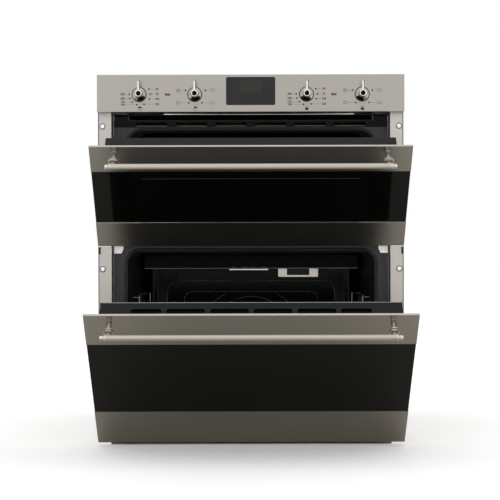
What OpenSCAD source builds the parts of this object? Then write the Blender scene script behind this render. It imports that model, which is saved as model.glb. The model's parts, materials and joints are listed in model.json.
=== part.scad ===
// Built-under double oven, 60 cm wide, with two drop-down doors left ajar.
// Millimetres: X to the right, Y to the back, Z up.
// Y = 0 is the rear face of the mounting flanges, which meets the cabinet's front edge.
// Z = 0 is the underside of the base, and X = 0 is the middle of the front.

/* [Front] */
// Width of the control panel and of both doors
front_w = 597; // [592:1:600]
// Height from the underside of the base to the top of the control panel
total_h = 720; // [720:1:724]
// Height of the control panel
panel_h = 72; // [70:1:73]
// How far the doors and the panel stand in front of the cabinet
front_depth = 22; // [21:0.5:23]

/* [Doors] */
// Height of the upper door
upper_door_h = 250; // [249:0.5:250]
// Gap between the two doors
door_gap = 4; // [4:0.5:5]
// Opening angle of the upper door as drawn
upper_open = 43.3; // [0:0.1:90]
// Opening angle of the lower door as drawn
lower_open = 46; // [0:0.1:90]
// Distance from the outer face of a door to its inner face
door_t = 37; // [35:0.5:37]

/* [Body] */
// Width over the side panels
body_w = 550; // [548:1:552]
// Depth behind the cabinet's front edge
body_d = 548; // [540:1:560]
// Thickness of the sheet steel
sheet = 1.2; // [1:0.1:1.5]

/* [Cavities] */
// Width inside both cavities
cavity_w = 466; // [460:1:470]
// Depth from the front frame to the back wall
cavity_d = 418; // [410:1:420]
// Height inside the upper cavity
upper_cavity_h = 179; // [170:1:180]
// Height inside the lower cavity
lower_cavity_h = 314; // [300:1:315]

/* [Handles and knobs] */
// Length of a handle over its end caps
handle_len = 534; // [500:1:560]
// Diameter of a handle bar
handle_d = 12; // [10:0.5:14]
// Distance from the door face to the axis of the bar
handle_out = 40; // [36:0.5:44]
// Distance from the panel face to the front of a knob
knob_out = 25; // [22:0.5:28]

/* [Hidden] */
$fn = 48;

// Small overshoot that lets a cut run past the face it opens
e = 0.5;

// Main planes and heights
face_y = -front_depth;
frame_y = 21;
frame_half_w = 269.5;
frame_bottom = 21.5;
vent_z = 621;
panel_z = total_h - panel_h;
upper_top = panel_z - 3;
upper_bottom = upper_top - upper_door_h;
lower_top = upper_bottom - door_gap;
lower_bottom = 19;
body_top = total_h - 20;
partition_z = 633;
half_body = body_w / 2;
back_wall_y = frame_y + cavity_d;

// Cavity openings: [bottom, height, corner radius]
UPPER_CAVITY = [432, upper_cavity_h, 30];
LOWER_CAVITY = [60, lower_cavity_h, 20];

// Gasket loops: [bottom, top, corner radius] of the middle of the seal
gasket_half_w = 246;
gasket_d = 7;
UPPER_GASKET = [428, 616.5, 34];
LOWER_GASKET = [53, 379.8, 28];

// A door: [bottom, top, top strip, bottom strip, pivot behind the face,
//          pivot above the bottom, body bottom rise, body top drop, angle]
skin_t = 4.5;
UPPER = [upper_bottom, upper_top, 60, 61, 18, 17, 5, 8.5, upper_open];
LOWER = [lower_bottom, lower_top, 79, 96.5, 22, 6, 1, 6, lower_open];
door_body_w = 540;
column_w = 22;
trim_h = 14;
inner_y = face_y + door_t;
body_y = face_y + skin_t;
function pivot_y(d) = face_y + d[4];
function pivot_z(d) = d[0] + d[5];
function body_bottom(d) = d[0] + d[6];
function body_top_z(d) = d[1] - d[7];

// Handles
handle_drop = 14.7;
post_x = handle_len / 2 - 14.5;
ring_out_x = handle_len / 2 - 7.6;
ring_in_x = ring_out_x - 5.8;

// Hinges
hinge_x = 260;
tongue_t = 2.4;
cheek_t = 2;
cheek_gap = 3.2;
pin_r = 3;

// Knobs and dials
KNOB_X = [-216.5, -108.5, 108.5, 216.5];
knob_z = panel_z + 33.5;
lamp_x = 161.5;
display_z = panel_z + 40;

// Mounting flanges
flange_t = 1.2;
flange_out_x = front_w / 2;
hole_x = 290;
HOLE_Z = [342.7, 621.8];
flange_bottom = 28;
notch_z = pivot_z(UPPER) - 25.5;
notch_h = 16.5;

// Fan in the lower cavity
fan_z = 180;
fan_chamber_y = 404;

// Cooling blower above the cavities, and the duct that leads from it to the front
blower_y = 330;
blower_z = 668;
blower_front_y = 298;
blower_back_y = 362;
blower_half_w = 100;
duct_half_w = 241;

// Mains cable gland in the rear panel
gland_x = -215;
gland_z = 662;

module slab(x0, x1, y0, y1, z0, z1) {
  translate([x0, y0, z0]) cube([x1 - x0, y1 - y0, z1 - z0]);
}

// A child on the right and its mirror image on the left
module both_sides() {
  children();
  mirror([1, 0, 0]) children();
}

// Outline of a w by h rectangle with round corners, centred
function rounded(w, h, r, n = 6) = [
  for (corner = [0:3]) for (i = [0:n])
    let (a = 90 * (corner + i / n),
         cx = (corner == 0 || corner == 3 ? 1 : -1) * (w / 2 - r),
         cy = (corner < 2 ? 1 : -1) * (h / 2 - r))
    [cx + r * cos(a), cy + r * sin(a)]
];

// A drawing in X and Z, carried along Y
module along_y(y0, y1) {
  translate([0, y1, 0]) rotate([90, 0, 0]) linear_extrude(y1 - y0) children();
}

// A drawing in Y and Z, carried along X
module along_x(x0, x1) {
  translate([x0, 0, 0]) rotate([90, 0, 90]) linear_extrude(x1 - x0) children();
}

module rod_x(x0, x1, y, z, r) {
  translate([x0, y, z]) rotate([0, 90, 0]) cylinder(h = x1 - x0, r = r);
}

module rod_y(y0, y1, x, z, r) {
  translate([x, y0, z]) rotate([-90, 0, 0]) cylinder(h = y1 - y0, r = r);
}

module rod_z(z0, z1, x, y, r) {
  translate([x, y, z0]) cylinder(h = z1 - z0, r = r);
}

// A round-cornered plate that faces forward
module face_plate(w, z0, z1, r, y0, y1, x = 0, n = 6) {
  translate([x, 0, (z0 + z1) / 2]) along_y(y0, y1) polygon(rounded(w, z1 - z0, r, n));
}

// Turns a door from its closed place to its drawn opening
module swung(d) {
  translate([0, pivot_y(d), pivot_z(d)]) rotate([d[8], 0, 0])
    translate([0, -pivot_y(d), -pivot_z(d)]) children();
}

/* ---- Carcass ---- */

module base_tray() color("silver") {
  difference() {
    union() {
      slab(-half_body + sheet, half_body - sheet, -3, body_d - sheet, 0, sheet);
      both_sides() slab(half_body - 2 * sheet, half_body - sheet, 42, body_d - sheet, sheet, 20);
      slab(-half_body + 2 * sheet, half_body - 2 * sheet, frame_y, frame_y + sheet, sheet, frame_bottom);
    }
    for (x = [-180:60:180], y = [200, 380])
      translate([x, y, -e]) linear_extrude(sheet + 2 * e) polygon(rounded(8, 60, 3.9, 3));
    both_sides() slab(253, 268, frame_y - e, frame_y + 2, 8, 22);
  }
}

// Pressed sides, cut away where the lower edges of the open doors swing in
module side_panels() color("silver")
  both_sides() difference() {
    union() {
      slab(half_body - sheet, half_body, 4, body_d, 0, body_top);
      slab(half_body - sheet, half_body, -2, 4, panel_z + 1, body_top);
      for (z = [90, 500])
        along_x(half_body, half_body + 1.5) translate([300, z + 60]) polygon(rounded(380, 110, 20));
    }
    for (i = [0:9])
      along_x(half_body - 3, half_body + 3) translate([330 + 18 * i, 655]) polygon(rounded(6, 46, 2.9, 3));
    slab(half_body - 3, half_body + 3, 0, 15, notch_z, notch_z + notch_h);
    slab(half_body - 3, half_body + 3, 0, 8, -1, 10);
  }

module rear_panel() color("silver")
  difference() {
    slab(-half_body + sheet, half_body - sheet, body_d - sheet, body_d, 0, body_top - sheet);
    for (i = [0:13])
      face_plate(7, 642, 688, 3.4, body_d - 3, body_d + 1, -91 + 14 * i, 3);
    for (i = [0:9])
      face_plate(7, 130, 200, 3.4, body_d - 3, body_d + 1, -63 + 14 * i, 3);
    rod_y(body_d - 3, body_d + 1, gland_x, gland_z, 9.2);
  }

module top_cover() color("silver")
  difference() {
    slab(-half_body + sheet, half_body - sheet, -2, body_d, body_top - sheet, body_top);
    for (i = [0:11], side = [-1, 1])
      translate([side * 175, 240 + 16 * i, body_top - 3]) linear_extrude(5) polygon(rounded(70, 6, 2.9, 3));
  }

module partition_plate() color("silver")
  difference() {
    slab(-half_body + sheet, half_body - sheet, 42, body_d - sheet, partition_z, partition_z + sheet);
    for (x = [-200, 200]) rod_z(partition_z - 1, partition_z + 3, x, 500, 12);
  }

module front_frame() color("#3a3a3c")
  difference() {
    union() {
      slab(-frame_half_w, frame_half_w, frame_y, frame_y + sheet, frame_bottom, vent_z);
      both_sides() slab(frame_half_w - sheet, frame_half_w, frame_y + sheet, 40, frame_bottom, vent_z);
    }
    cavity_opening(UPPER_CAVITY);
    cavity_opening(LOWER_CAVITY);
    for (d = [UPPER, LOWER]) both_sides()
      slab(253, 268, frame_y - e, frame_y + sheet + e, pivot_z(d) - 17, pivot_z(d) + 15);
  }

// The mouth of a cavity
module cavity_opening(c) {
  face_plate(cavity_w, c[0], c[0] + c[1], c[2], frame_y - e, frame_y + sheet + e);
}

// Flange, return wall and inner tab, notched where the upper door's edge swings through.
// The flange alone goes on up behind the panel.
module mounting_flanges() color("gainsboro")
  both_sides() difference() {
    union() {
      slab(half_body - 2 * sheet, flange_out_x, -flange_t, 0, flange_bottom, upper_top);
      slab(half_body + 0.2, flange_out_x, -flange_t, 0, upper_top, panel_z + 6);
      slab(half_body - 2 * sheet, half_body - sheet, 0, 41.2, flange_bottom, upper_top);
      slab(frame_half_w, half_body - 2 * sheet, 40, 41.2, flange_bottom, upper_top);
    }
    slab(269, 300, -3, 15, notch_z, notch_z + notch_h);
    for (z = HOLE_Z) rod_y(-3, 1, hole_x, z, 6);
  }

module fixing_bushes() color("white")
  both_sides() for (z = HOLE_Z) difference() {
    union() {
      rod_y(-flange_t, 0, hole_x, z, 6);
      rod_y(-2.2, -flange_t, hole_x, z, 7);
    }
    rod_y(-3, 1, hole_x, z, 2.6);
  }

module side_clips() color("#151515")
  both_sides() difference() {
    slab(flange_out_x - 4.5, flange_out_x, -3.4, -flange_t, notch_z - 15, notch_z - 1);
    slab(flange_out_x - 2.5, flange_out_x + 1, -4, -2.4, notch_z - 10, notch_z - 6);
  }

/* ---- Cavities ---- */

// Plan of a cavity with round back corners, grown by g
module cavity_plan(g) {
  w = cavity_w + 2 * g;
  r = 24 + g;
  back = back_wall_y + g;
  polygon(concat(
    [[-w / 2, frame_y + sheet], [w / 2, frame_y + sheet]],
    [for (i = [0:6]) let (a = 15 * i) [w / 2 - r + r * cos(a), back - r + r * sin(a)]],
    [for (i = [0:6]) let (a = 90 + 15 * i) [r - w / 2 + r * cos(a), back - r + r * sin(a)]]
  ));
}

// Solid that fills a cavity, grown by g
module cavity_space(c, g) {
  intersection() {
    translate([0, 0, c[0] - g]) linear_extrude(c[1] + 2 * g) cavity_plan(g);
    face_plate(cavity_w + 2 * g, c[0] - g, c[0] + c[1] + g, c[2] + g, frame_y, back_wall_y + 5);
  }
}

module cavity_shell(c) {
  difference() {
    cavity_space(c, sheet);
    difference() {
      cavity_space(c, 0);
      // Pressed shelf guides in the side walls
      both_sides() for (i = [1:2])
        slab(cavity_w / 2 - 2, cavity_w / 2 + 1, 60, 380, c[0] + c[1] * i / 3 - 3, c[0] + c[1] * i / 3 + 3);
    }
    // Lamp hole in the back wall
    lamp_hole(c);
  }
}

function lamp_z(c) = c[0] + c[1] - 33;

module lamp_hole(c) {
  slab(82, 130, back_wall_y - 1, back_wall_y + 4, lamp_z(c) - 17, lamp_z(c) + 17);
}

module upper_cavity() color("#26272a") cavity_shell(UPPER_CAVITY);

module lower_cavity() color("#26272a")
  difference() {
    cavity_shell(LOWER_CAVITY);
    rod_y(back_wall_y - 1, back_wall_y + 4, 0, fan_z, 6);
    both_sides() for (z = [fan_z - 60, fan_z + 60]) rod_y(back_wall_y - 1, back_wall_y + 4, 150, z, 2.2);
  }

module gasket_loop(g) {
  difference() {
    face_plate(2 * gasket_half_w + gasket_d, g[0] - gasket_d / 2, g[1] + gasket_d / 2,
               g[2] + gasket_d / 2, frame_y - 5.5, frame_y);
    face_plate(2 * gasket_half_w - gasket_d, g[0] + gasket_d / 2, g[1] - gasket_d / 2,
               g[2] - gasket_d / 2, frame_y - 7, frame_y + 1);
  }
}

module upper_gasket() color("#1c1c1d") gasket_loop(UPPER_GASKET);
module lower_gasket() color("#1c1c1d") gasket_loop(LOWER_GASKET);

// Blanket round each cavity, open at the front
module insulation() color("khaki")
  for (c = [UPPER_CAVITY, LOWER_CAVITY]) difference() {
    slab(-250, 250, frame_y + 4, back_wall_y + 26, c[0] - 25, c[0] + c[1] + 14);
    slab(-236, 236, frame_y, back_wall_y + 4, c[0] - 11, c[0] + c[1] + 3);
    rod_y(back_wall_y, back_wall_y + 30, 0, fan_z, 40);
    slab(76, 136, back_wall_y, back_wall_y + 30, lamp_z(c) - 23, lamp_z(c) + 23);
  }

// Tube bent to and fro in a level plane: n legs at a pitch, from y0 to y1
module serpentine(n, pitch, y0, y1, z, r) {
  for (i = [0:n - 1]) {
    x = (i - (n - 1) / 2) * pitch;
    rod_y(y0, y1, x, z, r);
    if (i < n - 1)
      translate([x + pitch / 2, i % 2 == 0 ? y0 : y1, z]) rotate([0, 0, i % 2 == 0 ? 180 : 0])
        rotate_extrude(angle = 180) translate([pitch / 2, 0]) circle(r);
  }
}

// Grill element, with its two tails through the back wall
module grill_element(c) {
  z = c[0] + c[1] - 22;
  serpentine(6, 64, 96, 340, z, 3.3);
  both_sides() rod_y(340, back_wall_y, 160, z, 3.3);
}

module upper_grill_element() color("#4a4a4c") grill_element(UPPER_CAVITY);
module lower_grill_element() color("#4a4a4c") grill_element(LOWER_CAVITY);

module base_elements() color("#4a4a4c")
  for (c = [UPPER_CAVITY, LOWER_CAVITY]) serpentine(6, 60, 80, 360, c[0] - 5.5, 3.2);

module ring_element() color("#4a4a4c") {
  for (y = [413, 425]) translate([0, y, fan_z]) rotate([90, 0, 0])
    rotate_extrude() translate([98, 0]) circle(3.2);
  both_sides() rod_y(413, back_wall_y, 98, fan_z, 2.4);
}

// Sheet over the lower grill element, with a skirt that hangs in front of it
module grill_reflector() color("#88898a") {
  top = LOWER_CAVITY[0] + LOWER_CAVITY[1];
  slab(-212, 212, 52, 396, top - 6, top - 5);
  slab(-212, 212, 51, 52, top - 31, top - 5);
  both_sides() slab(211, 212, 52, 396, top - 16, top - 6);
}

/* ---- Lower cavity's fan ---- */

module fan_cover() color("#2c2d30")
  difference() {
    union() {
      difference() {
        face_plate(374, 64, 312, 26, fan_chamber_y, back_wall_y);
        face_plate(374 - 2 * sheet, 64 + sheet, 312 - sheet, 26 - sheet, fan_chamber_y + sheet, back_wall_y + e);
      }
      difference() {
        face_plate(300, 74, 289, 20, fan_chamber_y - 3, fan_chamber_y);
        face_plate(292, 78, 285, 16, fan_chamber_y - 4, fan_chamber_y + e);
        rod_y(fan_chamber_y - 4, fan_chamber_y + e, 0, fan_z, 110);
      }
      difference() {
        rod_y(fan_chamber_y - 3, fan_chamber_y, 0, fan_z, 110);
        rod_y(fan_chamber_y - 4, fan_chamber_y + e, 0, fan_z, 104);
      }
    }
    for (a = [0:15:345]) translate([0, 0, fan_z]) rotate([0, a, 0])
      face_plate(6, 34, 78, 2.9, fan_chamber_y - 1, fan_chamber_y + 2, 0, 3);
    // Hot air comes out through slots down both sides
    for (side = [-1, 1], i = [0:6])
      face_plate(18, 105 + 26 * i, 111 + 26 * i, 2.9, fan_chamber_y - 1, fan_chamber_y + 2, side * 168, 3);
  }

module convection_fan() color("#9a9b9c")
  translate([0, 0, fan_z]) {
    difference() {
      rod_y(428, 429.5, 0, 0, 78);
      for (a = [0:45:315]) rotate([0, a, 0]) rod_y(427, 431, 38, 0, 9);
    }
    for (a = [0:30:330]) rotate([0, a, 0]) slab(52, 76, 412, 428.6, -0.6, 0.6);
    rod_y(411, 428, 0, 0, 8);
    rod_y(429.5, 462, 0, 0, 4);
  }

module fan_motor() color("#6b6c6e")
  difference() {
    union() {
      rod_y(back_wall_y + 16, back_wall_y + 62, 0, fan_z, 33);
      rod_y(back_wall_y + sheet, back_wall_y + 16, 0, fan_z, 12);
      slab(-37, 37, back_wall_y + 28, back_wall_y + 31, fan_z - 26, fan_z + 26);
    }
    rod_y(back_wall_y, back_wall_y + 28, 0, fan_z, 4.4);
  }

/* ---- Fittings inside the cavities ---- */

// Wire rack on the right wall: rungs at the given heights
module side_rack(z0, z1, rungs) {
  x = cavity_w / 2 - 9;
  for (y = [64, 388]) rod_z(z0, z1, x, y, 2.4);
  for (z = concat([z0, z1], rungs)) rod_y(62, 390, x, z, 1.9);
  for (y = [76, 376]) rod_x(x, cavity_w / 2, y, z1 - 1.5, 1.6);
}

module side_racks() color("silver") both_sides() {
  side_rack(445, 560, [475, 487, 517, 529]);
  side_rack(95, 286, [122, 134, 172, 184, 222, 234, 262]);
}

module lamp_frames() color("silver")
  for (c = [UPPER_CAVITY, LOWER_CAVITY]) difference() {
    face_plate(90, lamp_z(c) - 22.5, lamp_z(c) + 22.5, 3, back_wall_y - 3, back_wall_y, 106);
    face_plate(50, lamp_z(c) - 18, lamp_z(c) + 18, 2, back_wall_y - 4, back_wall_y + e, 106);
  }

module lamp_glasses() color("white")
  for (c = [UPPER_CAVITY, LOWER_CAVITY])
    face_plate(50, lamp_z(c) - 18, lamp_z(c) + 18, 2, back_wall_y - 4.5, back_wall_y, 106);

/* ---- Cooling air ---- */

vent_slot_x = [39, 116.5, 195];

module vent_strip() color("#2c2c2e")
  difference() {
    union() {
      slab(-frame_half_w, frame_half_w, frame_y, frame_y + sheet, vent_z, partition_z);
      slab(-frame_half_w, frame_half_w, frame_y, 42, partition_z, partition_z + sheet);
      both_sides() slab(duct_half_w, frame_half_w, frame_y + 8, frame_y + 9, partition_z + sheet, panel_z - 1);
    }
    both_sides() for (x = vent_slot_x)
      face_plate(62, vent_z + 1.8, vent_z + 10.2, 3, frame_y - 1, frame_y + 3, x);
  }

module air_duct() color("darkgray") {
  x = duct_half_w;
  difference() {
    slab(-x, x, frame_y + 4, blower_front_y, partition_z + sheet, partition_z + 15);
    slab(sheet - x, x - sheet, frame_y, blower_front_y + 2, partition_z + 2 * sheet, partition_z + 15 - sheet);
  }
  rod_x(-x, x, frame_y + 2.5, partition_z + 13, 1.6);
}

module blower_housing() color("silver") {
  x = blower_half_w;
  inner_x = x - sheet;
  y0 = blower_front_y;
  y1 = blower_back_y;
  difference() {
    slab(-x, x, y0, y1, partition_z + sheet, body_top - sheet);
    slab(-inner_x, inner_x, y0 + sheet, y1 - sheet, partition_z + 2 * sheet, body_top - 2 * sheet);
    slab(-inner_x, inner_x, y0 - 1, y0 + 2, partition_z + 2 * sheet, partition_z + 15 - sheet);
    for (i = [0:12]) face_plate(7, 642, 690, 3.4, y1 - 2, y1 + 1, -84 + 14 * i, 3);
    rod_x(x - 2, x + 2, blower_y, blower_z, 3.6);
  }
}

module cooling_fan() color("#9a9b9c") {
  rod_x(-94, 130, blower_y, blower_z, 3);
  for (x = [-90, 0, 88]) rod_x(x, x + 1.5, blower_y, blower_z, 26);
  for (a = [0:20:340]) translate([0, blower_y, blower_z]) rotate([a, 0, 0])
    slab(-89.2, 88.8, 20, 25.4, -0.5, 0.5);
}

module blower_motor() color("#6b6c6e")
  difference() {
    union() {
      rod_x(106, 140, blower_y, blower_z, 27);
      rod_x(100, 106, blower_y, blower_z, 9);
      slab(112, 134, blower_y - 20, blower_y + 20, partition_z + sheet, blower_z - 20);
    }
    rod_x(99, 131, blower_y, blower_z, 3.3);
  }

/* ---- Controls ---- */

module control_panel() color("#b5b1aa") {
  difference() {
    slab(-front_w / 2, front_w / 2, face_y, -2, panel_z, total_h);
    slab(1 - front_w / 2, front_w / 2 - 1, face_y + 1, -1, panel_z + 1, total_h - 1);
    for (x = KNOB_X) rod_y(face_y - 1, face_y + 2, x, knob_z, 4);
    face_plate(95.5, display_z - 27.3, display_z + 27.3, 3, face_y - 1, face_y + 2);
    both_sides() slab(lamp_x - 5.3, lamp_x + 5.3, face_y - 1, face_y + 2, knob_z - 2.1, knob_z + 2.1);
  }
  // Carrier sheet that closes the back and holds the switches
  difference() {
    slab(1 - front_w / 2, front_w / 2 - 1, -3.2, -2, panel_z + 1, total_h - 1);
    for (x = KNOB_X) rod_y(-4, 0, x, knob_z, 5);
  }
}

module display_window() color("#18191b")
  face_plate(95.5, display_z - 27.3, display_z + 27.3, 3, face_y - 0.6, face_y + 2.4);

module display_module() color("#2f5d3a") {
  slab(-52, 52, -10, -8.4, panel_z + 6, panel_z + 66);
  slab(-24, 24, face_y + 2.4, -10, display_z - 8, display_z + 14);
  both_sides() for (z = [panel_z + 10, panel_z + 62]) rod_y(-8.4, -3.2, 46, z, 2.5);
}

module indicator_lamps() color("#8a2f22")
  both_sides() slab(lamp_x - 5.3, lamp_x + 5.3, face_y - 0.8, face_y + 4, knob_z - 2.1, knob_z + 2.1);

module selector_switches() color("ivory")
  for (x = KNOB_X) difference() {
    union() {
      slab(x - 20, x + 20, -2, 14, knob_z - 20, knob_z + 16);
      rod_y(-12, -2, x, knob_z, 4.8);
      for (i = [-1:1]) slab(x - 14 + 10 * (i + 1), x - 8 + 10 * (i + 1), 14, 21, knob_z - 3, knob_z - 2.2);
    }
    rod_y(-13, 8, x, knob_z, 3.05);
  }

module knob_bezels() color("silver")
  for (x = KNOB_X) difference() {
    rod_y(face_y - 0.8, face_y, x, knob_z, 14.6);
    rod_y(face_y - 2, face_y + 1, x, knob_z, 4);
  }

// Lever knob: domed skirt, neck, front ring with a hollow middle, pointer, and the shaft behind
module knob(x) color("gainsboro")
  translate([x, face_y, knob_z]) {
    rotate([90, 0, 0]) rotate_extrude() polygon([
      [0, 1.2], [14, 1.2], [14, 2.4], [12.9, 3.8], [10.2, 5.9], [7.6, 8], [6.4, 10], [5.9, 13],
      [5.9, 19], [6.8, 20.2], [6.8, knob_out - 1], [6.1, knob_out], [4.7, knob_out],
      [4.5, knob_out - 1], [4.5, knob_out - 2], [0, knob_out - 2]
    ]);
    difference() {
      along_y(-knob_out + 0.4, -knob_out + 3.6)
        polygon([[-2.3, 5], [2.3, 5], [1.9, 23], [1.2, 24], [-1.2, 24], [-1.9, 23]]);
      rod_y(-knob_out - 1, 0, 0, 0, 6.6);
    }
    rod_y(-1.2, front_depth + 5, 0, 0, 3);
  }

module knob_1() knob(KNOB_X[0]);
module knob_2() knob(KNOB_X[1]);
module knob_3() knob(KNOB_X[2]);
module knob_4() knob(KNOB_X[3]);

/* ---- Mains connection ---- */

module terminal_block() color("ivory")
  difference() {
    slab(-244, -186, 492, 520, partition_z + sheet, 682);
    for (i = [0:2]) rod_y(510, 521, -233 + 18 * i, 656, 3.5);
    for (i = [0:2]) rod_z(670, 683, -233 + 18 * i, 506, 3);
  }

module cable_gland() color("#222222")
  difference() {
    union() {
      rod_y(534, body_d + 6, gland_x, gland_z, 9);
      rod_y(body_d, body_d + 3, gland_x, gland_z, 13);
      rod_y(body_d - sheet - 3, body_d - sheet, gland_x, gland_z, 13);
    }
    rod_y(533, body_d + 7, gland_x, gland_z, 5.5);
  }

/* ---- Hinges ---- */

// Fixed half: bright plate on the frame down to plate_drop below the pin, pierced tongue, and channel
module hinge_body(d, plate_drop) {
  py = pivot_y(d);
  pz = pivot_z(d);
  difference() {
    union() {
      along_y(frame_y - 1.5, frame_y)
        polygon([
          [251, pz + 18], [frame_half_w, pz + 18], [frame_half_w, pz - plate_drop],
          [255, pz - plate_drop], [251, pz - plate_drop + 9]
        ]);
      along_x(hinge_x - tongue_t / 2, hinge_x + tongue_t / 2)
        polygon([[py, pz - 7], [frame_y + 5, pz - 12], [frame_y + 5, pz + 12], [py, pz + 7]]);
      rod_x(hinge_x - tongue_t / 2, hinge_x + tongue_t / 2, py, pz, 7);
      difference() {
        slab(253.5, 267.5, frame_y, 190, pz - 16.5, pz + 14.5);
        slab(255, 266, frame_y - 1, 188.5, pz - 15, pz + 13);
      }
    }
    rod_x(250, 270, py, pz, pin_r + 0.08);
  }
}

module hinge_bodies() color("gainsboro")
  both_sides() {
    hinge_body(UPPER, 39);
    hinge_body(LOWER, 18);
  }

// Coil springs in the channels, drawn as ridged sleeves
module hinge_springs() color("dimgray")
  both_sides() for (d = [UPPER, LOWER])
    translate([hinge_x + 0.5, 60, pivot_z(d) - 1]) rotate([-90, 0, 0]) rotate_extrude()
      polygon(concat([[3.4, 0]], [for (i = [0:40]) [4.6 + 0.7 * (i % 2), 3 * i]], [[3.4, 120]]));

// Moving half: two cheeks, a web that lies against the door, and the pin
module hinge_arms(d) {
  py = pivot_y(d);
  pz = pivot_z(d);
  both_sides() {
    for (side = [-1, 1]) {
      x = hinge_x + side * (cheek_gap / 2 + cheek_t / 2);
      difference() {
        union() {
          along_x(x - cheek_t / 2, x + cheek_t / 2) polygon([
            [body_y + sheet, pz + 14], [body_y + sheet, pz + 66], [body_y + 11, pz + 66],
            [py + 6.8, pz + 12], [py + 6.8, pz], [py - 6.8, pz]
          ]);
          rod_x(x - cheek_t / 2, x + cheek_t / 2, py, pz, 7);
        }
        rod_x(x - 2, x + 2, py, pz, pin_r);
      }
    }
    slab(hinge_x - cheek_gap / 2, hinge_x + cheek_gap / 2, body_y + sheet, body_y + 2 * sheet, pz + 16, pz + 66);
    rod_x(hinge_x - 4.4, hinge_x + 4.4, py, pz, pin_r);
  }
}

/* ---- Doors ---- */

// Folded steel strip across the front of a door, hollow behind
module door_strip(z0, z1) {
  difference() {
    slab(-front_w / 2, front_w / 2, face_y, body_y, z0, z1);
    slab(4 - door_body_w / 2, door_body_w / 2 - 4, face_y + 1, body_y + e, z0 + 12, z1 - 12);
  }
}

module door_strips(d) {
  difference() {
    door_strip(d[1] - d[2], d[1]);
    both_sides() rod_y(face_y - 1, body_y + e, post_x, d[1] - handle_drop, 2.2);
  }
  door_strip(d[0], d[0] + d[3]);
}

module door_glass(d)
  slab(-front_w / 2 + 0.5, front_w / 2 - 0.5, face_y + 0.5, body_y, d[0] + d[3], d[1] - d[2]);

// Side columns and bottom rail of the door's body
module door_frame(d) {
  z0 = body_bottom(d);
  z1 = body_top_z(d) - trim_h;
  x1 = door_body_w / 2;
  x0 = x1 - column_w;
  both_sides() difference() {
    slab(x0, x1, body_y, inner_y, z0, z1);
    slab(x0 + sheet, x1 - sheet, body_y + sheet, inner_y - sheet, z0 - 1, z1 + 1);
    slab(hinge_x - 4.8, hinge_x + 4.8, pivot_y(d) - 11, inner_y + 1, z0 - 1, pivot_z(d) + 20);
    for (z = [z0 + 60, z1 - 20]) rod_y(inner_y - 2, inner_y + 1, (x0 + x1) / 2, z, 1.7);
  }
  difference() {
    slab(-x0, x0, body_y, inner_y, z0, z0 + 12);
    slab(-x0 - 1, x0 + 1, body_y + sheet, inner_y - 6, z0 + sheet, z0 + 13);
    slab(-x0 - 1, x0 + 1, inner_y - 5, inner_y + 1, z0 + sheet, z0 + 13);
  }
}

// Inner pane, flush with the columns
module inner_pane(d)
  slab(column_w - door_body_w / 2, door_body_w / 2 - column_w, inner_y - 4.5, inner_y - 0.5,
       body_bottom(d) + sheet, body_top_z(d) - trim_h);

// Middle pane
module middle_pane(d)
  slab(column_w - door_body_w / 2, door_body_w / 2 - column_w, -2, 1,
       body_bottom(d) + 12, body_top_z(d) - trim_h);

// Cap along the top of the door's body, with air slots where slots lists [x, length]
module door_trim(d, slots) {
  z1 = body_top_z(d);
  difference() {
    slab(-door_body_w / 2, door_body_w / 2, body_y, inner_y, z1 - trim_h, z1);
    slab(2 - door_body_w / 2, door_body_w / 2 - 2, body_y + 2, inner_y - 2, z1 - trim_h - 1, z1 - 2);
    both_sides() for (s = slots)
      translate([s[0], body_y + 11.3, z1 - 3]) linear_extrude(4) polygon(rounded(s[1], 11, 5));
  }
}

module handle_bar(d)
  rod_x(-ring_in_x, ring_in_x, face_y - handle_out, d[1] - handle_drop, handle_d / 2);

// Ring, neck and end cap in one turned piece on each end, on a post with a collar
module handle_posts(d) {
  z = d[1] - handle_drop;
  y = face_y - handle_out;
  r = handle_d / 2;
  both_sides() {
    translate([ring_in_x, y, z]) rotate([0, 90, 0]) rotate_extrude()
      polygon([[0, 0], [r + 0.8, 0], [r + 0.8, 5.8], [r - 1.6, 5.8], [r - 1.6, 7],
               [r - 1.2, 7], [r - 1, 7.4], [r - 1, 12.6], [r - 1.8, 13.4], [0, 13.4]]);
    difference() {
      union() {
        rod_y(y + 17, face_y, post_x, z, 4.6);
        rod_y(y + 11, y + 17, post_x, z, 9.2);
        rod_y(y, y + 11, post_x, z, 5.6);
        rod_y(face_y, face_y + 4, post_x, z, 2);
      }
      rod_x(post_x - 20, ring_in_x, y, z, r);
      rod_x(ring_in_x, ring_in_x + 8, y, z, r + 0.8);
    }
  }
}

module upper_door_strips() color("#8d8a83") swung(UPPER) door_strips(UPPER);
module upper_door_glass() color("#141516") swung(UPPER) door_glass(UPPER);
module upper_door_frame() color("#5a5a58") swung(UPPER) door_frame(UPPER);
module upper_inner_glass() color("#2a2c2e") swung(UPPER) inner_pane(UPPER);
module upper_door_trim() color("#2b2b2b") swung(UPPER) door_trim(UPPER, []);
module upper_handle_bar() color("gainsboro") swung(UPPER) handle_bar(UPPER);
module upper_handle_posts() color("gainsboro") swung(UPPER) handle_posts(UPPER);
module upper_hinge_arms() color("silver") swung(UPPER) hinge_arms(UPPER);

module lower_door_strips() color("#8d8a83") swung(LOWER) door_strips(LOWER);
module lower_door_glass() color("#141516") swung(LOWER) door_glass(LOWER);
module lower_door_frame() color("#5a5a58") swung(LOWER) door_frame(LOWER);
module lower_inner_glass() color("#2a2c2e") swung(LOWER) { inner_pane(LOWER); middle_pane(LOWER); }
module lower_door_trim() color("#2b2b2b")
  swung(LOWER) door_trim(LOWER, [[38.7, 69], [117, 69], [187.3, 55]]);
module lower_handle_bar() color("gainsboro") swung(LOWER) handle_bar(LOWER);
module lower_handle_posts() color("gainsboro") swung(LOWER) handle_posts(LOWER);
module lower_hinge_arms() color("silver") swung(LOWER) hinge_arms(LOWER);

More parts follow.
